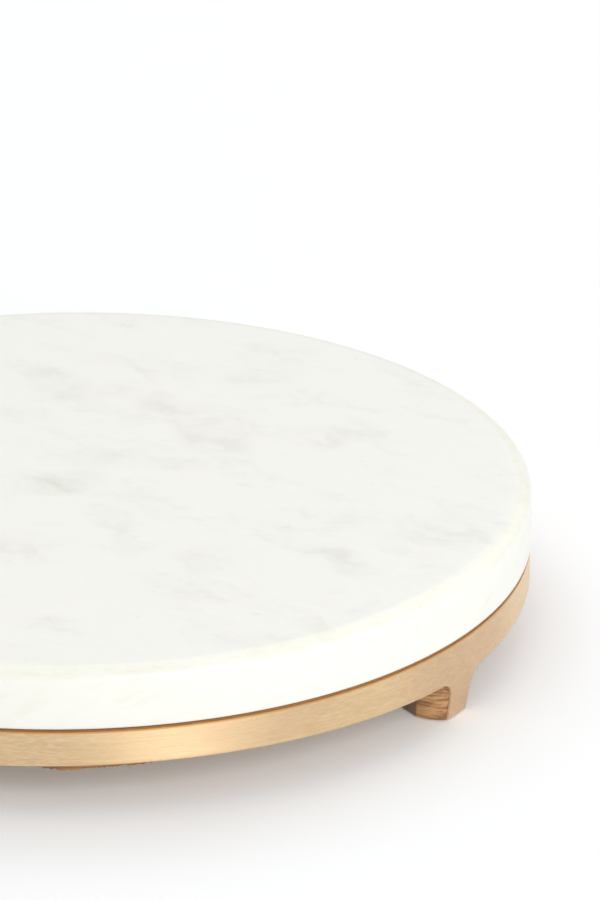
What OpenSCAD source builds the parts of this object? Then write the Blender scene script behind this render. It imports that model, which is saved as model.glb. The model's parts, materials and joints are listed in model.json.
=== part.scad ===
// Lazy susan turntable: a marble disc turns on a flat ball bearing, inside a low
// hardwood rim that is clad in a brass band and stands on four short feet.
// Millimetres, +Z up. The origin is on the table, on the turning axis. The feet
// stand on the diagonals, so X and Y run midway between them.

/* [Marble disc] */
// Diameter of the marble disc
disc_d = 305; // [298:1:330]
// Thickness of the marble disc
disc_t = 19.6; // [16:0.1:24]
// Radius of the disc's top edge
disc_top_edge = 2.5; // [1:0.1:5]
// Radius of the disc's bottom edge
disc_bottom_edge = 0.7; // [0.3:0.1:2]
// Running gap between the rim and the disc
disc_gap = 0.8; // [0.6:0.1:2]

/* [Rim] */
// Height of the rim's top over the table
rim_top = 27.9; // [27.7:0.1:30]
// How far the rim's outer face lies inside the disc's edge
rim_inset = 0.3; // [0.1:0.1:2]
// Width of the wooden rim, measured outwards from its inner edge
rim_w = 23.2; // [20:0.1:26]
// Height of the rim's flat underside, where a foot is glued on
rim_underside = 15.2; // [14.8:0.1:15.4]
// Rise of the arch in the rim's lower edge between two feet
arch_rise = 1.3; // [0.5:0.1:1.3]
// Half of the arch's span
arch_half_span = 93; // [85:1:95]

/* [Brass band] */
// Thickness of the brass sheet
band_t = 0.9; // [0.8:0.1:1.5]
// Radius that rounds the band's top edge over
band_top_edge = 0.9; // [0.2:0.1:0.9]
// Half width of a tab where it leaves the rim
tab_half_top = 5.8; // [5.6:0.1:8]
// Half width of a tab at its foot
tab_half_foot = 5.5; // [4.5:0.1:5.8]
// Height at which the tab's straight taper turns into the fillet
tab_fillet_from = 8.3; // [7:0.1:9]
// How far a tab's foot leans in towards the axis
tab_lean = 2.5; // [0:0.1:3]

/* [Feet] */
// Half width of a foot at its widest, on the table
foot_half_w = 8.6; // [8:0.1:9]
// Distance from the axis to a foot's widest place
foot_r = 140.5; // [139:0.1:142]
// Radius of a foot's curved sides, on the table
foot_side_r = 14.2; // [13:0.1:16]
// How much the curved sides grow towards the rim
foot_draft = 1.2; // [0:0.1:2]
// Distance from the axis to a foot's blunt inner end
foot_inner_r = 131; // [130:0.1:133]
// Half width of the blunt inner end
foot_inner_half_w = 4.8; // [4:0.1:5.5]
// Thickness of the felt pad under a foot
pad_t = 0.5; // [0.4:0.1:1]

/* [Bearing] */
// Radius of the two pressed steel plates
plate_r = 76; // [74:0.5:80]
// Thickness of the plate steel
plate_t = 1.5; // [1.2:0.1:1.8]
// Height of the whole bearing
bearing_h = 8; // [7.8:0.1:8.2]
// Radius of the circle that the balls run on
race_r = 60; // [58:0.5:61]
// Diameter of a ball
ball_d = 6; // [5.8:0.1:6]
// Number of balls
ball_count = 20; // [12:1:24]
// Running clearance at the balls and the pivot
running_gap = 0.06; // [0.03:0.01:0.1]

/* [Base panel] */
// Thickness of the plywood base panel
panel_t = 4; // [3.5:0.1:4.2]
// Radius of the base panel
panel_r = 137.8; // [136:0.1:138.5]
// Radius of the hole that clears the pivot
panel_hole_r = 12; // [9:0.5:14]
// Radius of the hole that a screwdriver reaches the disc's screws through
access_hole_r = 6.5; // [5:0.5:8]

/* [Hidden] */

eps = 0.01;          // overlap that keeps joined shapes one solid
glue = 0.1;          // thickness of a glue line
panel_gap = 0.2;     // gap round the base panel
bolt_gap = 0.15;     // clearance round a bolt in its hole
fit_gap = 0.05;      // gap round a thread or a dowel
quarter_turn = 90;   // the base repeats four times round
diagonal = 45;       // angle of the first foot

// Heights, from the table up
disc_bottom = rim_top + disc_gap;
bearing_bottom = disc_bottom - bearing_h;
panel_bottom = bearing_bottom - panel_t;
ball_z = bearing_bottom + bearing_h / 2;
upper_plate_bottom = disc_bottom - plate_t;
lower_plate_top = bearing_bottom + plate_t;
arch_crown = rim_underside + arch_rise;

// Radii, from the axis out
disc_r = disc_d / 2;
band_r = disc_r - rim_inset;
rim_r = band_r - band_t - glue;
rim_inner_r = rim_r - rim_w;
rabbet_r = panel_r + panel_gap;
beyond = disc_r + 20;   // clear of everything
ball_r = ball_d / 2;
groove_r = ball_r + running_gap;

// The arch is a shallow arc: its radius from its half span and its rise
arch_r = (arch_half_span * arch_half_span + arch_rise * arch_rise) / (2 * arch_rise);
tab_fillet_r = rim_underside - tab_fillet_from;
fillet_bite = 0.05;  // the fillet cuts the straight edges that it meets by this much

// Two shallow lips left standing under the wood, next to the front joint:
// [angle from the joint, half chord, depth below the arch]
RIM_LIPS = [[9.8, 12, 1.4], [3.6, 8, 0.9]];

// Fasteners: radius of the circle that each set stands on, and their sizes
disc_screw_ring = 40;
bolt_ring = 71;
panel_screw_ring = 133;
panel_screw_count = 8;
m4_r = 2;
m4_head_r = 3.9;
m4_head_h = 1.9;
m4_slot_half_w = 0.5;
m4_slot_depth = 1;
m4_nut_r = 4.05;
m4_nut_h = 3.2;
m4_washer_r = 4.5;
m4_washer_t = 0.8;
insert_r = 4;
insert_l = 11;
insert_floor = 1;        // thickness of an insert's closed end
insert_spare = 0.5;      // how much deeper the hole is than its insert
bolt_end = 0.6;          // how far a bolt stands out of its nut
disc_screw_l = 8.5;
wood_screw_r = 1.75;
wood_screw_head_r = 3.4;
wood_screw_head_h = 2;
cross_half_l = 2;
cross_half_w = 0.4;
cross_depth = 1;
panel_screw_l = 10;
foot_screw_l = 20;
dowel_r = 2.5;
dowel_l = 24;
dowel_radii = [rim_inner_r + 14, rim_inner_r + 19.5];

// Pivot rivet
rivet_r = 4;
rivet_bore_r = 2.2;
rivet_head_r = 7;
rivet_head_h = 0.9;
dish_r = 18;
dish_drop = 2.3;
washer_t = 0.4;
dish_top = disc_bottom - dish_drop;

// ---- Small helpers ----

module ring(r_out, r_in, z_from, z_to) {
    translate([0, 0, z_from])
        difference() {
            cylinder(r = r_out, h = z_to - z_from, $fn = 180);
            translate([0, 0, -1]) cylinder(r = r_in, h = z_to - z_from + 2, $fn = 180);
        }
}

module disc(r, z_from, z_to, fn = 48) {
    translate([0, 0, z_from]) cylinder(r = r, h = z_to - z_from, $fn = fn);
}

// Copies a fastener round a circle
module on_circle(radius, count, first = 0) {
    for (i = [0 : count - 1])
        rotate([0, 0, first + i * 360 / count]) translate([radius, 0, 0]) children();
}

// Copies something to the four diagonals
module on_diagonals() {
    for (i = [0 : 3]) rotate([0, 0, diagonal + i * quarter_turn]) children();
}

// Lies a cylinder along the radius at the angle, its axis at height z
module radial_cylinder(angle, r, z, fn) {
    rotate([0, 0, angle]) translate([0, 0, z]) rotate([0, 90, 0])
        cylinder(r = r, h = beyond, $fn = fn);
}

// Everything below the four arches
module below_arches() {
    for (i = [0 : 3])
        radial_cylinder(i * quarter_turn, arch_r, arch_crown - arch_r, 720);
}

// Outline of a tab seen along the radius, with the fillets that run into the rim
module tab_outline() {
    fillet_end = tab_half_top + tab_fillet_r;
    difference() {
        polygon([[-tab_half_foot, pad_t], [tab_half_foot, pad_t],
                 [tab_half_top, tab_fillet_from], [fillet_end, tab_fillet_from],
                 [fillet_end, arch_crown], [-fillet_end, arch_crown],
                 [-fillet_end, tab_fillet_from], [-tab_half_top, tab_fillet_from]]);
        for (side = [-1, 1]) translate([side * fillet_end, tab_fillet_from])
            circle(r = tab_fillet_r + fillet_bite, $fn = 72);
    }
}

// The tab's outline as a block that reaches inwards from beyond the band
module tab_block(inner_r) {
    translate([inner_r, 0, 0]) rotate([90, 0, 90])
        linear_extrude(height = beyond - inner_r) tab_outline();
}

// Section of everything inside the radius, which leans in below the rim
module leaning_section(r) {
    polygon([[0, pad_t], [r - tab_lean, pad_t], [r, rim_underside],
             [r, rim_top], [0, rim_top]]);
}

// The driver slot across an M4 head whose outer face lies at height z
module head_slot(z) {
    translate([-m4_head_r, -m4_slot_half_w, z - m4_slot_depth])
        cube([2 * m4_head_r, 2 * m4_slot_half_w, 2 * m4_slot_depth]);
}

// ---- Turntable ----

module disc_section() {
    square([disc_r - disc_top_edge, disc_t]);
    square([disc_r - disc_bottom_edge, disc_t - disc_top_edge]);
    translate([0, disc_bottom_edge])
        square([disc_r, disc_t - disc_top_edge - disc_bottom_edge]);
    translate([disc_r - disc_top_edge, disc_t - disc_top_edge])
        circle(r = disc_top_edge, $fn = 48);
    translate([disc_r - disc_bottom_edge, disc_bottom_edge])
        circle(r = disc_bottom_edge, $fn = 32);
}

module marble_top() {
    color([0.95, 0.95, 0.93])
        difference() {
            translate([0, 0, disc_bottom])
                rotate_extrude($fn = 180) disc_section();
            on_circle(disc_screw_ring, 4)
                disc(insert_r + glue, disc_bottom - 1, disc_bottom + insert_l + insert_spare);
        }
}

module marble_inserts() {
    color([0.75, 0.6, 0.3])
        on_circle(disc_screw_ring, 4)
            difference() {
                disc(insert_r, disc_bottom, disc_bottom + insert_l);
                disc(m4_r + fit_gap, disc_bottom - 1, disc_bottom + insert_l - insert_floor);
            }
}

module upper_plate_screws() {
    color([0.75, 0.75, 0.77])
        on_circle(disc_screw_ring, 4)
            union() {
                disc(m4_r, upper_plate_bottom - eps, upper_plate_bottom + disc_screw_l);
                difference() {
                    disc(m4_head_r, upper_plate_bottom - m4_head_h, upper_plate_bottom);
                    head_slot(upper_plate_bottom - m4_head_h);
                }
            }
}

// Cuts the groove that the balls run in
module race_groove() {
    translate([0, 0, ball_z])
        rotate_extrude($fn = 180) translate([race_r, 0]) circle(r = groove_r, $fn = 48);
}

module bearing_upper_plate() {
    color([0.7, 0.71, 0.73])
        difference() {
            union() {
                disc(plate_r, upper_plate_bottom, disc_bottom, 180);
                disc(dish_r, dish_top - plate_t, disc_bottom, 96);
            }
            disc(dish_r - plate_t, dish_top, disc_bottom + 1, 96);
            disc(rivet_r + running_gap, dish_top - 5, disc_bottom + 1, 64);
            on_circle(disc_screw_ring, 4)
                disc(m4_r + bolt_gap, upper_plate_bottom - 1, disc_bottom + 1);
            race_groove();
        }
}

// ---- Ball set ----

module bearing_balls() {
    color([0.8, 0.81, 0.83])
        on_circle(race_r, ball_count)
            translate([0, 0, ball_z]) sphere(r = ball_r, $fn = 32);
}

module ball_cage() {
    cage_t = 1.2;
    cage_half_w = 6.5;
    color([0.55, 0.5, 0.4])
        difference() {
            ring(race_r + cage_half_w, race_r - cage_half_w,
                 ball_z - cage_t / 2, ball_z + cage_t / 2);
            on_circle(race_r, ball_count)
                disc(ball_r + running_gap, ball_z - 2, ball_z + 2);
        }
}

// ---- Base ----

module bearing_lower_plate() {
    color([0.66, 0.67, 0.69])
        difference() {
            disc(plate_r, bearing_bottom, lower_plate_top, 180);
            disc(rivet_r, bearing_bottom - 1, lower_plate_top + 1, 64);
            on_circle(bolt_ring, 4, diagonal)
                disc(m4_r + bolt_gap, bearing_bottom - 1, lower_plate_top + 1);
            translate([disc_screw_ring, 0, 0])
                disc(access_hole_r, bearing_bottom - 1, lower_plate_top + 1);
            race_groove();
        }
}

module pivot_rivet() {
    head_bottom = dish_top + washer_t + 2 * running_gap;
    color([0.6, 0.6, 0.62])
        difference() {
            union() {
                disc(rivet_head_r, bearing_bottom - rivet_head_h, bearing_bottom, 64);
                disc(rivet_r, bearing_bottom - eps, head_bottom + eps, 64);
                disc(rivet_head_r, head_bottom, head_bottom + rivet_head_h, 64);
            }
            disc(rivet_bore_r, bearing_bottom - 2, disc_bottom, 48);
        }
}

module pivot_washer() {
    color([0.8, 0.7, 0.45])
        ring(rivet_head_r + 1, rivet_r + running_gap,
             dish_top + running_gap, dish_top + running_gap + washer_t);
}

module plate_bolts() {
    thread_end = panel_bottom - m4_washer_t - m4_nut_h - bolt_end;
    color([0.75, 0.75, 0.77])
        on_circle(bolt_ring, 4, diagonal)
            union() {
                disc(m4_r, thread_end, lower_plate_top + eps);
                difference() {
                    disc(m4_head_r, lower_plate_top, lower_plate_top + m4_head_h);
                    head_slot(lower_plate_top + m4_head_h);
                }
            }
}

module plate_washers() {
    color([0.78, 0.78, 0.8])
        on_circle(bolt_ring, 4, diagonal)
            difference() {
                disc(m4_washer_r, panel_bottom - m4_washer_t, panel_bottom);
                disc(m4_r + bolt_gap, panel_bottom - 2, panel_bottom + 1);
            }
}

module plate_nuts() {
    nut_top = panel_bottom - m4_washer_t;
    color([0.75, 0.75, 0.77])
        on_circle(bolt_ring, 4, diagonal)
            difference() {
                disc(m4_nut_r, nut_top - m4_nut_h, nut_top, 6);
                disc(m4_r + fit_gap, nut_top - m4_nut_h - 1, nut_top + 1);
            }
}

module base_panel() {
    color([0.78, 0.62, 0.42])
        difference() {
            disc(panel_r, panel_bottom, bearing_bottom, 180);
            disc(panel_hole_r, panel_bottom - 1, bearing_bottom + 1, 64);
            translate([disc_screw_ring, 0, 0])
                disc(access_hole_r, panel_bottom - 1, bearing_bottom + 1);
            on_circle(bolt_ring, 4, diagonal)
                disc(m4_r + bolt_gap, panel_bottom - 1, bearing_bottom + 1);
            panel_screw_places() countersink(panel_bottom);
        }
}

module panel_screw_places() {
    on_circle(panel_screw_ring, panel_screw_count, 180 / panel_screw_count) children();
}

// A countersunk wood screw that goes up from height z
module wood_screw(z, length) {
    difference() {
        union() {
            translate([0, 0, z + glue])
                cylinder(r1 = wood_screw_head_r, r2 = wood_screw_r, h = wood_screw_head_h, $fn = 48);
            disc(wood_screw_r, z + wood_screw_head_h, z + length);
        }
        for (turn = [0, quarter_turn]) rotate([0, 0, turn])
            translate([-cross_half_l, -cross_half_w, z - cross_depth])
                cube([2 * cross_half_l, 2 * cross_half_w, 2 * cross_depth]);
    }
}

// The hole for a wood screw that goes up from height z
module countersink(z) {
    translate([0, 0, z - eps])
        cylinder(r1 = wood_screw_head_r + glue, r2 = wood_screw_r + glue,
                 h = wood_screw_head_h + glue, $fn = 48);
    disc(wood_screw_r + glue, z, z + 30);
}

module panel_screws() {
    color([0.8, 0.78, 0.7])
        panel_screw_places() wood_screw(panel_bottom, panel_screw_l);
}

// Dowels that lie across the joints between the rim's segments
module dowel_places() {
    for (i = [0 : 3], r = dowel_radii)
        rotate([0, 0, i * quarter_turn])
            translate([r, 0, (arch_crown + rim_top) / 2]) rotate([90, 0, 0]) children();
}

module rim_dowels() {
    color([0.86, 0.72, 0.5])
        dowel_places() cylinder(r = dowel_r, h = dowel_l, center = true, $fn = 32);
}

// The lips under the wood. Each is the lowest part of a wide cylinder that lies along the radius
module rim_lips() {
    for (lip = RIM_LIPS) {
        lip_r = (lip[1] * lip[1] + lip[2] * lip[2]) / (2 * lip[2]);
        radial_cylinder(quarter_turn - lip[0], lip_r, arch_crown - lip[2] + lip_r, 180);
    }
}

// A quarter of the rim. It runs from one joint, at angle 0, to the next
module rim_segment(place, has_lips = false) {
    color([0.5, 0.3, 0.16])
        rotate([0, 0, place * quarter_turn])
            difference() {
                intersection() {
                    translate([glue / 2, glue / 2, 0]) cube([beyond, beyond, rim_top]);
                    union() {
                        difference() {
                            ring(rim_r, rim_inner_r, rim_underside, rim_top);
                            below_arches();
                        }
                        if (has_lips) intersection() {
                            ring(rim_r, rim_inner_r, 0, rim_top);
                            rim_lips();
                        }
                    }
                }
                disc(rabbet_r, 0, bearing_bottom, 180);
                dowel_places() cylinder(r = dowel_r + fit_gap, h = dowel_l + 1, center = true, $fn = 32);
                panel_screw_places() disc(wood_screw_r + fit_gap, 0, panel_bottom + panel_screw_l + 1);
                rotate([0, 0, diagonal]) translate([foot_r, 0, 0])
                    disc(wood_screw_r + fit_gap, 0, pad_t + foot_screw_l + 1);
            }
}

// Upright slit at the back, where the band's two ends meet
module band_seam() {
    seam_w = 0.25;
    translate([-seam_w / 2, 0, 0]) cube([seam_w, beyond, rim_top + 1]);
}

module band_section() {
    difference() {
        union() {
            difference() {
                leaning_section(band_r);
                translate([band_r - band_top_edge, rim_top - band_top_edge]) square(1);
            }
            translate([band_r - band_top_edge, rim_top - band_top_edge])
                circle(r = band_top_edge, $fn = 32);
        }
        leaning_section(band_r - band_t);
    }
}

module brass_band() {
    tab_reach = 6;   // deeper than the sheet and its lean
    color([0.85, 0.66, 0.42])
        difference() {
            intersection() {
                rotate_extrude($fn = 180) band_section();
                union() {
                    difference() {
                        disc(beyond, rim_underside, rim_top + 1, 180);
                        below_arches();
                    }
                    on_diagonals() tab_block(band_r - tab_reach);
                }
            }
            band_seam();
        }
}

// ---- Feet ----

// Plan of a foot: curved sides that meet two straight faces behind its widest place
module foot_sides(top_z) {
    side_offset = foot_side_r - foot_half_w;
    widest = foot_half_w + foot_draft + 1;
    straight_to = foot_r - 1;   // the straight faces end here
    free_from = foot_r + 2;     // from here out only the curved sides count
    intersection() {
        curved_side(side_offset, top_z);
        curved_side(-side_offset, top_z);
        linear_extrude(height = rim_top)
            polygon([[foot_inner_r, -foot_inner_half_w], [straight_to, -foot_half_w],
                     [free_from, -widest], [beyond, -widest], [beyond, widest],
                     [free_from, widest], [straight_to, foot_half_w],
                     [foot_inner_r, foot_inner_half_w]]);
    }
}

// The round shape that one curved side of a foot is cut from, up to height top_z
module curved_side(offset_y, top_z) {
    translate([foot_r, offset_y, pad_t])
        cylinder(r1 = foot_side_r, r2 = foot_side_r + foot_draft, h = top_z - pad_t, $fn = 120);
}

module foot(place) {
    shield_depth = 4;
    color([0.55, 0.33, 0.17])
        rotate([0, 0, diagonal + place * quarter_turn])
            difference() {
                intersection() {
                    union() {
                        foot_sides(rim_underside);
                        tab_block(rim_r - shield_depth);
                    }
                    rotate_extrude($fn = 180) leaning_section(rim_r);
                    disc(beyond, pad_t, rim_underside, 90);
                }
                translate([foot_r, 0, 0]) countersink(pad_t);
            }
}

module foot_screws() {
    color([0.8, 0.78, 0.7])
        on_diagonals() translate([foot_r, 0, 0]) wood_screw(pad_t, foot_screw_l);
}

module foot_pad(place) {
    pad_r = 5.6;
    pad_reach = 2.6;
    color([0.32, 0.22, 0.15])
        rotate([0, 0, diagonal + place * quarter_turn])
            linear_extrude(height = pad_t)
                union() {
                    for (x = [-pad_reach, pad_reach])
                        translate([foot_r + x, 0]) circle(r = pad_r, $fn = 48);
                    translate([foot_r - pad_reach, -pad_r]) square([2 * pad_reach, 2 * pad_r]);
                }
}

marble_top();
marble_inserts();
upper_plate_screws();
bearing_upper_plate();
bearing_balls();
ball_cage();
pivot_washer();
pivot_rivet();
bearing_lower_plate();
plate_bolts();
plate_washers();
plate_nuts();
base_panel();
panel_screws();
rim_dowels();
brass_band();
rim_segment(3);  // rim_segment_front_right
rim_segment(0);  // rim_segment_back_right
rim_segment(1);  // rim_segment_back_left
rim_segment(2, has_lips = true);  // rim_segment_front_left
foot(3);  // foot_front_right
foot(0);  // foot_back_right
foot(1);  // foot_back_left
foot(2);  // foot_front_left
foot_pad(3);  // foot_pad_front_right
foot_pad(0);  // foot_pad_back_right
foot_pad(1);  // foot_pad_back_left
foot_pad(2);  // foot_pad_front_left
foot_screws();
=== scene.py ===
"""Looks of the lazy susan turntable: marble, brushed brass, wood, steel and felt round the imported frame."""

import json
import math

import bmesh
import bpy
from mathutils import Matrix, Vector, noise


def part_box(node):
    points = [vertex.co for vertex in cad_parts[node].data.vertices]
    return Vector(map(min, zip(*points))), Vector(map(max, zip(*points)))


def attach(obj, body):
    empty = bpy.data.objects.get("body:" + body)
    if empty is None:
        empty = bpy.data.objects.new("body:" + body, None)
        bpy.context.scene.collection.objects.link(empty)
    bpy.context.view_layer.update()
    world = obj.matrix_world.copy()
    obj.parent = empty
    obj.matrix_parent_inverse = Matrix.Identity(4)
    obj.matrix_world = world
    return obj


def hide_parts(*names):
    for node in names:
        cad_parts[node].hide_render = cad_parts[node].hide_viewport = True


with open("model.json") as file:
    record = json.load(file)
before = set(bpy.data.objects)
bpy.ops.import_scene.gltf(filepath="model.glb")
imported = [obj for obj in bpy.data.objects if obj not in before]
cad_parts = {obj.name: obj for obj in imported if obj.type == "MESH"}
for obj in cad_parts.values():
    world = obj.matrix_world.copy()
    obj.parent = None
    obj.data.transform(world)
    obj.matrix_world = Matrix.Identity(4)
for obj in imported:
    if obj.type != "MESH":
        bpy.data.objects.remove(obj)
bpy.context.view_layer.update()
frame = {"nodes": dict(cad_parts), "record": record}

MM = 0.001
DISC_LOW, DISC_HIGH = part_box("marble_top")
TOP = DISC_HIGH.z
DISC_R = DISC_HIGH.x
VIEW_TURN = math.radians(-12.85)  # the camera stands this far round from the frame's front

# Sizes for the materials, in millimetres
TOP_MM = TOP / MM
BAND_TOP_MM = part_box("brass_band")[1].z / MM
OUTSIDE_MM = 152.0  # radius at which the patterns on the band and the marble's side are unrolled
RIM_MM = 140.0  # the same for the wood
FOOT_END_MM = 139.5  # inside this radius a foot has its two straight faces, painted dark grey as painted shade
STREAK_TURN = -48  # degrees; the marble's wisps are drawn out this way
CLOUD_BEND_MM = 16.0  # strength of the noise that bends the clouds' outlines
CLOUD_DEPTH_MM = 40  # half height of a cloud in the slab

TABS = 4
FIRST_TAB = 45  # degrees from the frame's +X axis


# ---- Node helpers ----


class Shader:
    """A material's node tree, with short calls for the nodes that the materials are made of."""

    def __init__(self, name):
        self.material = bpy.data.materials.new(name)
        self.material.use_nodes = True
        self.tree = self.material.node_tree
        self.surface = self.tree.nodes["Principled BSDF"]

    def put(self, socket, value):
        if isinstance(value, bpy.types.NodeSocket):
            self.tree.links.new(value, socket)
        else:
            socket.default_value = value

    def node(self, kind, inputs=(), **settings):
        made = self.tree.nodes.new(kind)
        for key, value in settings.items():
            setattr(made, key, value)
        for key, value in dict(inputs).items():
            self.put(made.inputs[key], value)
        return made

    def set(self, **values):
        for key, value in values.items():
            self.put(self.surface.inputs[key.replace("_", " ")], value)

    def math(self, operation, a, b=0.0):
        return self.node("ShaderNodeMath", {0: a, 1: b}, operation=operation).outputs[0]

    def millimetres(self):
        """Place on the object, in millimetres, in the frame's own axes."""
        place = self.node("ShaderNodeTexCoord").outputs["Object"]
        return self.vector("MULTIPLY", place, (1 / MM,) * 3)

    def vector(self, operation, a, b):
        return self.node("ShaderNodeVectorMath", {0: a, 1: b}, operation=operation).outputs[0]

    def scaled(self, vector, scale, turn=0.0):
        """Multiplies a place by the scale, then turns it round Z by this angle, in radians."""
        made = self.node("ShaderNodeMapping", {"Vector": vector, "Scale": scale})
        made.inputs["Rotation"].default_value = (0, 0, turn)
        return made.outputs[0]

    def cells(self, vector, size, turn=0.0):
        """Stretches a pattern to cells of this size, in millimetres, that lie at this angle, in degrees."""
        made = self.node("ShaderNodeMapping", {"Vector": vector, "Scale": size}, vector_type="TEXTURE")
        made.inputs["Rotation"].default_value = (0, 0, math.radians(turn))
        return made.outputs[0]

    def height(self):
        return self.node("ShaderNodeSeparateXYZ", {0: self.millimetres()}).outputs[2]

    def round_the_axis(self, radius):
        """Arc length round Z, height and distance from the axis, in millimetres."""
        x, y, z = self.node("ShaderNodeSeparateXYZ", {0: self.millimetres()}).outputs
        angle = self.math("ARCTAN2", y, x)
        arc = self.math("MULTIPLY", angle, radius)
        away = self.math("SQRT", self.math("ADD", self.math("MULTIPLY", x, x), self.math("MULTIPLY", y, y)))
        return self.node("ShaderNodeCombineXYZ", {0: arc, 1: z, 2: away}).outputs[0]

    def noise(self, vector, scale, detail=2.0, roughness=0.5, distortion=0.0):
        inputs = {"Vector": vector, "Scale": scale, "Detail": detail, "Roughness": roughness}
        return self.node("ShaderNodeTexNoise", inputs | {"Distortion": distortion}).outputs["Fac"]

    def ramp(self, fac, low, high, to_low=0.0, to_high=1.0):
        """A smooth step between two values, where fac goes from low to high."""
        inputs = {0: fac, 1: low, 2: high, 3: to_low, 4: to_high}
        return self.node("ShaderNodeMapRange", inputs, interpolation_type="SMOOTHSTEP").outputs[0]

    def mix(self, fac, a, b):
        made = self.node("ShaderNodeMix", data_type="RGBA")
        self.put(made.inputs[0], fac)
        for socket, value in ((made.inputs[6], a), (made.inputs[7], b)):
            self.put(socket, tuple(value) + (1.0,) if isinstance(value, (tuple, list)) else value)
        return made.outputs[2]

    def bump(self, height, distance, strength):
        inputs = {"Height": height, "Distance": distance, "Strength": strength}
        return self.node("ShaderNodeBump", inputs).outputs[0]


# ---- Materials ----

# Soft grey clouds in the marble: place, half length and half width (mm), turn (degrees), strength.
# A cloud fades from its middle to nothing at 1.9 times these halves.
CLOUDS = [
    (43, 55, 13, 7, 100, 0.8),
    (54, 24, 16, 8, 110, 0.9),
    (-3, -2, 11, 8, 20, 1.0),
    (18, 16, 12, 8, 0, 0.5),
    (37, 7, 9, 5, -10, 0.8),
    (14, 82, 13, 7, 105, 0.6),
    (31, 73, 9, 5, 0, 0.4),
    (97, 17, 9, 7, 0, 0.6),
    (83, 73, 11, 8, 0, 0.4),
    (-27, -52, 10, 8, 80, 0.8),
    (31, -73, 12, 9, 30, 0.5),
    (71, -83, 13, 6, -60, 0.8),
    (107, -69, 17, 12, -30, 0.4),
    (83, -52, 9, 7, 0, 0.5),
    (22, -98, 10, 6, 0, 0.5),
    (8, -42, 13, 5, 100, 0.5),
    (-70, 40, 26, 9, 120, 0.7),
    (-95, -35, 22, 10, 100, 0.8),
    (-60, -95, 18, 8, 60, 0.6),
    (-50, 100, 20, 9, 70, 0.6),
    (-115, 45, 16, 8, 100, 0.5),
]


def marble():
    """Honed white marble with faint grey clouds, a few yellow stains and a creamy rounded edge; its side is
    painted darker as painted shade.
    """
    s = Shader("marble_honed")
    place = s.millimetres()
    wander = s.node("ShaderNodeTexNoise", {"Vector": place, "Scale": 0.07, "Detail": 3.0}).outputs["Color"]
    shift = s.vector("MULTIPLY", s.vector("SUBTRACT", wander, (0.5,) * 3), (CLOUD_BEND_MM,) * 3)
    bent = s.vector("ADD", place, shift)
    total = 0.0
    for x, y, long, wide, turn, strength in CLOUDS:
        local = s.cells(s.vector("SUBTRACT", bent, (x, y, TOP_MM)), (long, wide, CLOUD_DEPTH_MM), turn)
        reach = s.node("ShaderNodeVectorMath", {0: local}, operation="LENGTH").outputs["Value"]
        total = s.math("MAXIMUM", total, s.ramp(reach, 1.9, 0.1, 0.0, strength))
    wisps = s.ramp(s.noise(s.cells(bent, (11, 6.5, 9), STREAK_TURN), 1.0, 5.0, 0.56), 0.34, 0.68)
    drift = s.ramp(s.noise(s.cells(bent, (38, 17, 20), STREAK_TURN), 1.0, 5.0, 0.62), 0.44, 0.72)
    in_clouds = s.math("MULTIPLY", total, s.math("ADD", 0.10, s.math("MULTIPLY", wisps, 0.20)))
    between = s.math("MULTIPLY", drift, s.math("ADD", 0.03, s.math("MULTIPLY", wisps, 0.16)))
    grey = s.math("ADD", in_clouds, between)
    blush = s.ramp(s.noise(s.cells(place, (70, 45, 60), STREAK_TURN), 1.0, 2.0, 0.5), 0.4, 0.62)
    pale = s.mix(blush, (0.952, 0.962, 0.900), (0.966, 0.960, 0.908))
    colour = s.mix(grey, pale, (0.555, 0.53, 0.475))
    stain = s.ramp(s.noise(s.cells(place, (11, 7, 7), STREAK_TURN), 1.0, 4.0, 0.62), 0.63, 0.76, 0.0, 0.55)
    colour = s.mix(stain, colour, (0.83, 0.80, 0.60))
    rounded = s.ramp(s.height(), TOP_MM - 2.4, TOP_MM - 1.2)
    flat = s.ramp(s.height(), TOP_MM - 0.25, TOP_MM - 0.02)
    edge = s.math("MULTIPLY", rounded, s.math("SUBTRACT", 1.0, flat))
    unrolled = s.round_the_axis(OUTSIDE_MM)
    specks = s.ramp(s.noise(s.cells(unrolled, (5, 1.2, 4)), 1.0, 4.0, 0.6), 0.45, 0.75, 0.3, 0.85)
    colour = s.mix(s.math("MULTIPLY", edge, specks), colour, (0.87, 0.85, 0.70))
    # Painted shade: the side is painted darker than the top; its cream veins are the marble's own.
    side_painted_shade = s.math("MULTIPLY", s.math("SUBTRACT", 1.0, rounded), 0.8)
    veins = s.ramp(s.noise(s.cells(unrolled, (16, 6, 30), 20), 1.0, 5.0, 0.6), 0.5, 0.72)
    colour = s.mix(side_painted_shade, colour, s.mix(veins, (0.885, 0.88, 0.82), (0.855, 0.835, 0.745)))
    grain = s.noise(place, 0.9, 3.0, 0.6)
    s.set(
        Base_Color=colour,
        Roughness=s.ramp(s.noise(place, 0.4, 3.0), 0.3, 0.7, 0.28, 0.36),
        Subsurface_Weight=0.12,
        Subsurface_Radius=(0.006, 0.006, 0.0055),
        Subsurface_Scale=1.0,
        Normal=s.bump(grain, 0.000006, 0.5),
    )
    return s.material


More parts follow.
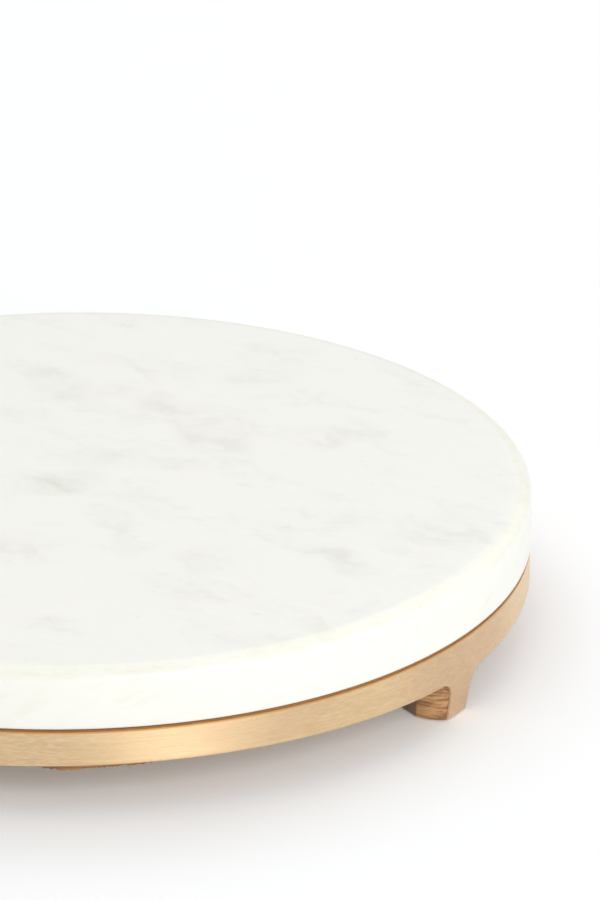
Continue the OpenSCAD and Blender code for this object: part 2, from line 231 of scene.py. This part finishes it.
def brushed_brass():
    """Brushed along its length and lacquered. The tabs are painted redder and darker as painted reflection
    and shade, and the rounded top edge is painted dark orange and less metallic as painted shade.
    """
    s = Shader("brushed_brass")
    unrolled = s.round_the_axis(OUTSIDE_MM)
    fine = s.noise(s.cells(unrolled, (9, 0.2, 40)), 1.0, 2.0, 0.6)
    dashes = s.noise(s.cells(unrolled, (3.2, 0.4, 40)), 1.0, 2.0, 0.65)
    broad = s.noise(s.cells(unrolled, (30, 0.8, 40)), 1.0, 3.0, 0.55)
    strokes = s.noise(s.cells(unrolled, (7, 0.55, 40), 14), 1.0, 2.0, 0.5)
    stain = s.noise(s.cells(unrolled, (45, 16, 40)), 1.0, 3.0, 0.6)
    tone = s.math("ADD", s.math("MULTIPLY", fine, 0.5), s.math("MULTIPLY", broad, 0.5))
    colour = s.mix(s.ramp(tone, 0.3, 0.7), (0.825, 0.58, 0.325), (0.895, 0.67, 0.40))
    colour = s.mix(s.ramp(stain, 0.5, 0.8, 0.0, 0.3), colour, (0.74, 0.48, 0.31))
    colour = s.mix(s.ramp(dashes, 0.5, 0.72, 0.0, 0.2), colour, (0.97, 0.80, 0.60))
    colour = s.mix(s.ramp(strokes, 0.64, 0.76, 0.0, 0.3), colour, (0.50, 0.32, 0.17))
    angle = s.math("DIVIDE", s.node("ShaderNodeSeparateXYZ", {0: unrolled}).outputs[0], OUTSIDE_MM)
    from_tab = s.math("SUBTRACT", angle, math.radians(FIRST_TAB))
    tab_shade_mask = s.math("COSINE", s.math("MULTIPLY", from_tab, float(TABS)))  # 1 at a tab, -1 between two
    # Painted reflection and shade: the tabs are painted redder and darker.
    colour = s.mix(s.ramp(tab_shade_mask, 0.45, 0.97, 0.0, 0.4), colour, (0.66, 0.42, 0.28))
    # Painted shade: the rounded top edge is painted dark orange and made less metallic, for the shaded gap
    # under the marble that it reflects.
    edge = s.ramp(s.height(), BAND_TOP_MM - 0.75, BAND_TOP_MM - 0.3)
    colour = s.mix(edge, colour, (0.66, 0.34, 0.115))
    relief = s.math("ADD", s.math("MULTIPLY", fine, 0.25), s.math("MULTIPLY", dashes, 0.75))
    s.set(
        Base_Color=colour,
        Metallic=s.math("SUBTRACT", 1.0, s.math("MULTIPLY", edge, 0.5)),
        Roughness=s.ramp(dashes, 0.36, 0.64, 0.47, 0.32),
        Anisotropic=0.9,
        Anisotropic_Rotation=0.25,
        Coat_Weight=0.25,
        Coat_Roughness=0.3,
        Normal=s.bump(relief, 0.0001, 0.8),
        Tangent=s.node("ShaderNodeTangent", direction_type="RADIAL", axis="Z").outputs[0],
    )
    return s.material


def wood(name, dark, light, along_radius, seed):
    """Oiled hardwood. The grain lies round the rim, whose top is painted lighter as painted light in the
    shaded gap, or lies along the radius in a foot, whose two straight inner faces are painted dark grey as
    painted shade."""
    s = Shader(name)
    place = s.round_the_axis(RIM_MM)
    z, away = s.node("ShaderNodeSeparateXYZ", {0: place}).outputs[1:3]
    moved = s.vector("ADD", place, (seed, seed * 0.7, 0))
    size = (3.0, 0.9, 15.0) if along_radius else (40.0, 1.6, 1.6)
    rings = s.noise(s.cells(moved, size), 1.0, 5.0, 0.6, 0.3)
    pores = s.noise(s.cells(moved, tuple(c * 0.25 for c in size)), 1.0, 3.0, 0.6)
    colour = s.mix(s.ramp(rings, 0.34, 0.64), dark, light)
    colour = s.mix(s.ramp(pores, 0.55, 0.75, 0.0, 0.45), colour, tuple(c * 0.45 for c in dark))
    if along_radius:
        # Painted shade: the foot's two straight inner faces are painted dark grey.
        end = s.ramp(away, FOOT_END_MM + 0.5, FOOT_END_MM - 0.3, 0.0, 0.75)
        colour = s.mix(end, colour, (0.15, 0.12, 0.09))
    else:
        # Painted light: the rim's top, in the shaded gap under the marble, is painted lighter and more
        # orange.
        colour = s.mix(s.ramp(z, BAND_TOP_MM - 1.0, BAND_TOP_MM - 0.3, 0.0, 0.8), colour, (0.85, 0.48, 0.20))
    s.set(
        Base_Color=colour,
        Roughness=s.ramp(pores, 0.3, 0.7, 0.42, 0.62),
        Normal=s.bump(s.math("SUBTRACT", rings, s.math("MULTIPLY", pores, 0.5)), 0.0001, 0.5),
    )
    return s.material


def plywood():
    s = Shader("birch_plywood")
    place = s.scaled(s.millimetres(), (0.02, 0.25, 1.0))
    figure = s.noise(place, 0.6, 5.0, 0.6, 1.2)
    pores = s.noise(s.scaled(place, (3.0, 12.0, 1.0)), 2.0, 2.0)
    colour = s.mix(s.ramp(figure, 0.35, 0.7), (0.40, 0.27, 0.15), (0.56, 0.41, 0.25))
    colour = s.mix(s.ramp(pores, 0.6, 0.8, 0.0, 0.5), colour, (0.27, 0.17, 0.09))
    s.set(Base_Color=colour, Roughness=0.6, Normal=s.bump(pores, 0.0001, 0.4))
    return s.material


def steel(name, colour, roughness, scale):
    """Zinc plate: a cloudy sheen with fine scuffs."""
    s = Shader(name)
    place = s.millimetres()
    cloud = s.noise(place, scale, 3.0, 0.6)
    scuff = s.noise(s.scaled(place, (0.4, 6.0, 1.0), 0.5), 1.0, 3.0, 0.7)
    tone = s.mix(s.ramp(cloud, 0.3, 0.7), tuple(c * 0.82 for c in colour), colour)
    s.set(
        Base_Color=tone,
        Metallic=1.0,
        Roughness=s.ramp(scuff, 0.3, 0.7, roughness, roughness + 0.14),
        Normal=s.bump(scuff, 0.00003, 0.4),
    )
    return s.material


def nylon():
    s = Shader("natural_nylon")
    grain = s.noise(s.millimetres(), 1.2, 3.0)
    s.set(
        Base_Color=s.mix(grain, (0.52, 0.50, 0.43), (0.62, 0.60, 0.53)),
        Roughness=s.ramp(grain, 0.3, 0.7, 0.4, 0.55),
        Normal=s.bump(grain, 0.00004, 0.4),
    )
    return s.material


def felt():
    s = Shader("pressed_felt")
    place = s.millimetres()
    fibres = s.noise(place, 2.6, 5.0, 0.75, 1.5)
    s.set(
        Base_Color=s.mix(s.ramp(fibres, 0.3, 0.7), (0.025, 0.016, 0.011), (0.075, 0.048, 0.033)),
        Roughness=0.95,
        Sheen_Weight=0.3,
        Normal=s.bump(fibres, 0.0003, 0.8),
    )
    return s.material


def paper_floor():
    """Pale paper, with painted shade that makes it a little darker towards the camera and a faint painted
    glow that lifts its shadows.
    """
    s = Shader("pale_floor")
    grain = s.noise(s.millimetres(), 0.05, 3.0)
    away = s.node("ShaderNodeSeparateXYZ", {0: s.millimetres()}).outputs[1]
    paper = s.mix(grain, (0.874, 0.883, 0.889), (0.889, 0.898, 0.904))
    s.set(
        # Painted shade: the paper is painted darker towards the camera, along -Y.
        Base_Color=s.mix(s.ramp(away, 150.0, -260.0, 0.0, 0.55), paper, (0.835, 0.842, 0.848)),
        Roughness=0.8,
        # Painted light: a faint glow that lifts the shadows on the floor.
        Emission_Color=(0.94, 0.975, 1.0, 1.0),
        Emission_Strength=0.14,
    )
    return s.material


SLOT_LOOKS = {
    "marble": marble(),
    "brushed_brass": brushed_brass(),
    "rim_wood": wood("rim_hardwood", (0.17, 0.075, 0.028), (0.52, 0.26, 0.11), False, 3.0),
    "foot_wood": wood("foot_hardwood", (0.24, 0.11, 0.043), (0.62, 0.345, 0.15), True, 45.0),
    "dowel_wood": wood("beech_dowel", (0.42, 0.27, 0.15), (0.58, 0.41, 0.25), False, 0.0),
    "plywood": plywood(),
    "plate_steel": steel("zinc_plate", (0.60, 0.60, 0.62), 0.30, 0.08),
    "screw_steel": steel("zinc_screws", (0.66, 0.66, 0.66), 0.24, 0.5),
    "ball_steel": steel("ball_steel", (0.78, 0.78, 0.80), 0.06, 0.3),
    "cage_plastic": nylon(),
    "insert_brass": steel("turned_brass", (0.62, 0.44, 0.2), 0.25, 0.4),
    "felt": felt(),
}

for part in frame["record"]["subparts"]:
    cad = frame["nodes"][part["node"]]
    cad.data.materials.clear()
    cad.data.materials.append(SLOT_LOOKS[part["material_slot"]])


# ---- Pieces ----


def place_piece(name, bm, slot, body, *nodes, sharp=40):
    """Turns the mesh into a piece that rides on the body, in the slot's finish, and replaces the nodes."""
    bmesh.ops.recalc_face_normals(bm, faces=bm.faces)
    mesh = bpy.data.meshes.new(name)
    bm.to_mesh(mesh)
    bm.free()
    mesh.materials.append(SLOT_LOOKS[slot])
    mesh.shade_smooth()
    mesh.set_sharp_from_angle(angle=math.radians(sharp))
    piece = bpy.data.objects.new(name, mesh)
    bpy.context.scene.collection.objects.link(piece)
    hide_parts(*nodes)
    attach(piece, body)
    return piece


def arc(x, z, radius, first, last, steps):
    """Points on an arc about (x, z), between two angles in degrees."""
    turns = [math.radians(first + (last - first) * i / steps) for i in range(steps + 1)]
    return [(x + radius * math.cos(t), z + radius * math.sin(t)) for t in turns]


def lathe(profile, steps):
    """Turns (radius, height) points about Z, and closes the first and last ring with a flat face."""
    bm = bmesh.new()
    rings = []
    for radius, z in profile:
        turns = [math.tau * i / steps for i in range(steps)]
        rings.append([bm.verts.new((radius * math.cos(t), radius * math.sin(t), z)) for t in turns])
    for low, high in zip(rings, rings[1:]):
        for i in range(steps):
            j = (i + 1) % steps
            bm.faces.new((low[i], low[j], high[j], high[i]))
    bm.faces.new(rings[0][::-1])
    bm.faces.new(rings[-1])
    return bm


# Marble disc
EDGE_IN, EDGE_DOWN = 6.5 * MM, 3.0 * MM  # the hand-eased top edge falls away slowly, then fast
BOTTOM_EDGE = 1.1 * MM
FLAT_RING = 0.5 * MM  # the flat faces start this far inside the rounded edges
DISC_STEPS = 540
INSIDE_CAD = 0.005 * MM  # the disc is this much smaller than the CAD's
INSERTS = 4
INSERT_R = 4.0 * MM
INSERT_SLACK = 0.1 * MM  # between an insert and the wall of its hole


def marble_disc():
    """The slab, with a hand-eased top edge and a fine lower one, drilled for its four inserts."""
    bottom = DISC_LOW.z
    outer = DISC_R - INSIDE_CAD
    profile = [(outer - BOTTOM_EDGE - FLAT_RING, bottom)]
    profile += arc(outer - BOTTOM_EDGE, bottom + BOTTOM_EDGE, BOTTOM_EDGE, -90, 0, 5)
    profile += [(outer, bottom + (TOP - bottom) * part) for part in (0.25, 0.5, 0.75)]
    eased = arc(0.0, 0.0, 1.0, 0, 90, 18)
    profile += [(outer - EDGE_IN + EDGE_IN * x, TOP - EDGE_DOWN + EDGE_DOWN * z) for x, z in eased]
    profile += [(outer - EDGE_IN - FLAT_RING, TOP)]
    bm = lathe(profile, DISC_STEPS)
    disc = place_piece("marble_disc", bm, "marble", "turntable", "marble_top", sharp=50)
    drill_inserts(disc)


def drill_inserts(disc):
    """Blind holes in the underside, round the brass inserts and a little deeper than them."""
    low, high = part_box("marble_inserts")
    mouth, end = low.z - 1.5 * MM, high.z + 0.5 * MM
    ring_r = high.x - INSERT_R
    hole_r = INSERT_R + INSERT_SLACK
    cutters = bmesh.new()
    for i in range(INSERTS):
        angle = math.tau * i / INSERTS
        made = bmesh.ops.create_cone(
            cutters, cap_ends=True, segments=48, radius1=hole_r, radius2=hole_r, depth=end - mouth)
        centre = (ring_r * math.cos(angle), ring_r * math.sin(angle), (mouth + end) / 2)
        bmesh.ops.translate(cutters, verts=made["verts"], vec=centre)
    mesh = bpy.data.meshes.new("cutters")
    cutters.to_mesh(mesh)
    cutters.free()
    tool = bpy.data.objects.new("cutters", mesh)
    bpy.context.scene.collection.objects.link(tool)
    cut = disc.modifiers.new("holes", "BOOLEAN")
    cut.object = tool
    cut.solver = "EXACT"
    result = bpy.data.meshes.new_from_object(disc.evaluated_get(bpy.context.evaluated_depsgraph_get()))
    disc.modifiers.clear()
    disc.data = result
    bpy.data.objects.remove(tool)


# Brass band
BAND_LOW, BAND_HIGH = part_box("brass_band")
BAND_R = DISC_R - 0.3 * MM  # the disc stands out a little over the band
SHEET = 0.9 * MM
UNDERSIDE = 15.2 * MM  # where a tab's fillets run into the band's lower edge
ARCH_RISE = 1.3 * MM
ARCH_HALF_SPAN = 93 * MM
TAB_HALF_FOOT = 5.5 * MM
TAB_HALF_TOP = 5.8 * MM
FILLET_FROM = 8.3 * MM
FILLET_R = UNDERSIDE - FILLET_FROM
TAB_LEAN = 2.5 * MM  # a tab's foot stands this far inside the band's face
SEAM = 0.25 * MM
SEAM_START, SEAM_END = 90, 450  # degrees, from the seam at the back round to it again
TAB_ANGLES = [SEAM_START + FIRST_TAB + i * 360 / TABS for i in range(TABS)]
TAB_COLUMNS = 24
ARCH_COLUMNS = 96
BAND_ROWS = 9
TAPER_ROWS = 8
FILLET_ROWS = 12
TOP_ROUND = 0.85 * MM
LOW_ROUND = 0.18 * MM


def arch_height(angle):
    """Height of the band's lower edge between two tabs."""
    between_tabs = 360 / TABS
    from_crown = math.radians((angle + between_tabs / 2) % between_tabs - between_tabs / 2)
    across = min(abs(BAND_R * math.sin(from_crown)), ARCH_HALF_SPAN)
    return UNDERSIDE + ARCH_RISE * (1 - (across / ARCH_HALF_SPAN) ** 2)


def tab_rows():
    """(half width, height) up a tab: its taper, then its fillets."""
    foot = BAND_LOW.z
    rows = []
    for i in range(TAPER_ROWS):
        up = i / TAPER_ROWS
        rows.append((TAB_HALF_FOOT + (TAB_HALF_TOP - TAB_HALF_FOOT) * up, foot + (FILLET_FROM - foot) * up))
    for i in range(FILLET_ROWS + 1):
        turn = math.radians(90 * i / FILLET_ROWS)
        rows.append((TAB_HALF_TOP + FILLET_R * (1 - math.cos(turn)), FILLET_FROM + FILLET_R * math.sin(turn)))
    return rows


def band_columns():
    """Angles round the band, in degrees, and the first column of each tab."""
    tab_half = math.degrees((TAB_HALF_TOP + FILLET_R) / BAND_R)
    seam_half = math.degrees(SEAM / 2 / BAND_R)
    angles, first_columns = [SEAM_START + seam_half], []
    for centre in TAB_ANGLES:
        start, steps = angles[-1], ARCH_COLUMNS // (2 if centre == TAB_ANGLES[0] else 1)
        angles += [start + (centre - tab_half - start) * i / steps for i in range(1, steps + 1)]
        first_columns.append(len(angles) - 1)
        angles += [centre - tab_half + 2 * tab_half * i / TAB_COLUMNS for i in range(1, TAB_COLUMNS + 1)]
    start, steps = angles[-1], ARCH_COLUMNS // 2
    angles += [start + (SEAM_END - seam_half - start) * i / steps for i in range(1, steps + 1)]
    return angles, first_columns


def band_sheet():
    """The unrolled sheet: (angle, height) points, and faces between them."""
    top = BAND_HIGH.z
    angles, first_columns = band_columns()
    in_tab = {i for first in first_columns for i in range(first, first + TAB_COLUMNS + 1)}
    points, faces = [], []
    for i, angle in enumerate(angles):
        low = UNDERSIDE if i in in_tab else arch_height(angle)
        points += [(math.radians(angle), low + (top - low) * j / BAND_ROWS) for j in range(BAND_ROWS + 1)]
    tall = BAND_ROWS + 1
    for i in range(len(angles) - 1):
        for j in range(BAND_ROWS):
            a = i * tall + j
            faces.append((a, a + tall, a + tall + 1, a + 1))
    for first, centre in zip(first_columns, TAB_ANGLES):
        above = [(first + i) * tall for i in range(TAB_COLUMNS + 1)]
        for half, z in tab_rows()[-2::-1]:
            here = list(range(len(points), len(points) + TAB_COLUMNS + 1))
            across = [half * (2 * i / TAB_COLUMNS - 1) / BAND_R for i in range(TAB_COLUMNS + 1)]
            points += [(math.radians(centre) + turn, z) for turn in across]
            faces += [(here[i], here[i + 1], above[i + 1], above[i]) for i in range(TAB_COLUMNS)]
            above = here
    return points, faces


def brass_sheet():
    """The band as one bent sheet, its two ends meeting at the back, with its edges rounded over."""
    points, faces = band_sheet()
    bm = bmesh.new()
    layers = []
    for depth in (0.0, SHEET):
        layer = []
        for angle, z in points:
            lean = TAB_LEAN * max(0.0, (UNDERSIDE - z) / (UNDERSIDE - BAND_LOW.z))
            radius = BAND_R - lean - depth
            layer.append(bm.verts.new((radius * math.cos(angle), radius * math.sin(angle), z)))
        layers.append(layer)
    outer, inner = layers
    sides = {(f[i], f[(i + 1) % 4]) for f in faces for i in range(4)}
    borders = [(a, b) for a, b in sorted(sides) if (b, a) not in sides]
    for f in faces:
        bm.faces.new([outer[i] for i in f])
        bm.faces.new([inner[i] for i in reversed(f)])
    top_edges, low_edges = [], []
    for a, b in borders:
        bm.faces.new((outer[b], outer[a], inner[a], inner[b]))
        at_top = min(points[a][1], points[b][1]) > BAND_HIGH.z - 0.01 * MM
        (top_edges if at_top else low_edges).append(bm.edges.get((outer[a], outer[b])))
    bmesh.ops.bevel(bm, geom=top_edges, offset=TOP_ROUND, segments=6, profile=0.5, affect="EDGES")
    low_edges = [e for e in low_edges if e.is_valid]
    bmesh.ops.bevel(bm, geom=low_edges, offset=LOW_ROUND, segments=2, profile=0.5, affect="EDGES")
    place_piece("brass_sheet", bm, "brushed_brass", "base", "brass_band", sharp=50)


# Lip of rim wood that hangs below the band at the front left
LIP_SPAN = (254.5, 269.4)  # degrees round the axis
LIP_COLUMNS = 150
LIP_R = 151.28 * MM  # just inside the brass sheet
LIP_W = 1.0 * MM  # the lip's face curves in by this much down to its torn edge
LIP_BACK = 3 * LIP_W
LIP_UNDER_BAND = 0.3 * MM
LIP_DENT = 0.16 * MM
LIP_ROWS = 10
LIP_PEAKS = ((258.8, 4.2, 2.0), (263.0, 4.6, 1.4), (266.5, 2.8, 1.2))  # degrees, half span, depth in mm


def lip_depth(angle):
    """How far the lip's torn edge hangs below the arch."""
    smooth = max(max(0.0, 1 - ((angle - at) / half) ** 2) * deep for at, half, deep in LIP_PEAKS)
    torn = noise.fractal(Vector((angle * 1.9, 3.1, 0.0)), 0.7, 2.0, 5)
    return (smooth + (0.25 + 0.45 * torn) * min(1.0, 4 * smooth)) * MM


def torn_lip():
    """The wood's rough lower edge, in front of the two smooth lips of the CAD segment."""
    bm = bmesh.new()
    rings = []
    for i in range(LIP_COLUMNS + 1):
        angle = LIP_SPAN[0] + (LIP_SPAN[1] - LIP_SPAN[0]) * i / LIP_COLUMNS
        turn = math.radians(angle)
        top = arch_height(angle) + LIP_UNDER_BAND
        low = arch_height(angle) - lip_depth(angle)
        ring = []
        for j in range(LIP_ROWS + 1):
            bend = math.pi / 2 * j / LIP_ROWS
            dent = noise.fractal(Vector((angle * 6.0, j * 0.55, 1.7)), 0.8, 2.0, 4) * LIP_DENT
            radius = LIP_R - LIP_W * (1 - math.cos(bend)) - max(0.0, dent)
            z = top + (low - top) * math.sin(bend)
            ring.append(bm.verts.new((radius * math.cos(turn), radius * math.sin(turn), z)))
        for z in (low, top):
            radius = LIP_R - LIP_BACK
            ring.append(bm.verts.new((radius * math.cos(turn), radius * math.sin(turn), z)))
        rings.append(ring)
    for here, after in zip(rings, rings[1:]):
        for j in range(len(here)):
            k = (j + 1) % len(here)
            bm.faces.new((here[j], after[j], after[k], here[k]))
    bm.faces.new(rings[0])
    bm.faces.new(rings[-1][::-1])
    place_piece("torn_lip", bm, "rim_wood", "base", sharp=30)


marble_disc()
brass_sheet()
torn_lip()


# ---- Stage ----

LIGHT_DISTANCE = 2.0  # metres
# Camera: its place is measured from the middle of the disc's top, before VIEW_TURN
CAMERA_OFFSET = Vector((0.500, -13.871, 5.917)) * DISC_R
CAMERA_TILT = math.radians(22.86)
CAMERA_LENS = 279.72  # mm, on a sensor 36 mm wide


def floor():
    size = 6.0  # metres from the object to each side
    mesh = bpy.data.meshes.new("floor")
    corners = [(x * size, y * size, 0.0) for x, y in ((-1, -1), (1, -1), (1, 1), (-1, 1))]
    mesh.from_pydata(corners, [], [(0, 1, 2, 3)])
    mesh.materials.append(paper_floor())
    plane = bpy.data.objects.new("floor", mesh)
    bpy.context.scene.collection.objects.link(plane)


def area_light(name, azimuth, elevation, size, power):
    """A softbox that faces the object. Azimuth is measured to the right of the camera."""
    a = math.radians(azimuth) + VIEW_TURN
    e = math.radians(elevation)
    away = Vector((math.sin(a) * math.cos(e), -math.cos(a) * math.cos(e), math.sin(e)))
    data = bpy.data.lights.new(name, "AREA")
    data.shape = "DISK"
    data.size = size
    data.energy = power
    light = bpy.data.objects.new(name, data)
    light.location = away * LIGHT_DISTANCE
    light.rotation_mode = "QUATERNION"
    light.rotation_quaternion = (-away).to_track_quat("-Z", "Y")
    bpy.context.scene.collection.objects.link(light)


def studio():
    world = bpy.data.worlds.new("studio")
    world.use_nodes = True
    world.node_tree.nodes["Background"].inputs["Color"].default_value = (1.0, 1.0, 1.0, 1.0)
    world.node_tree.nodes["Background"].inputs["Strength"].default_value = 0.62
    bpy.context.scene.world = world
    area_light("key_softbox", 28, 30, 0.9, 14.2)
    area_light("right_softbox", 80, 30, 1.2, 1.6)
    area_light("back_right_softbox", 150, 45, 1.4, 5.6)
    area_light("back_left_softbox", -150, 45, 1.4, 5.0)
    bpy.context.scene.view_settings.view_transform = "Standard"


def camera():
    """The camera stands low and far away, and the object lies to the left, partly outside its frame."""
    turned = Matrix.Rotation(VIEW_TURN, 3, "Z") @ CAMERA_OFFSET
    data = bpy.data.cameras.new("camera")
    data.sensor_width = 36.0
    data.lens = CAMERA_LENS
    data.clip_end = 50.0
    made = bpy.data.objects.new("camera", data)
    made.location = turned + Vector((0, 0, TOP))
    made.rotation_euler = (math.pi / 2 - CAMERA_TILT, 0.0, VIEW_TURN)
    bpy.context.scene.collection.objects.link(made)
    bpy.context.scene.camera = made


camera()
floor()
studio()
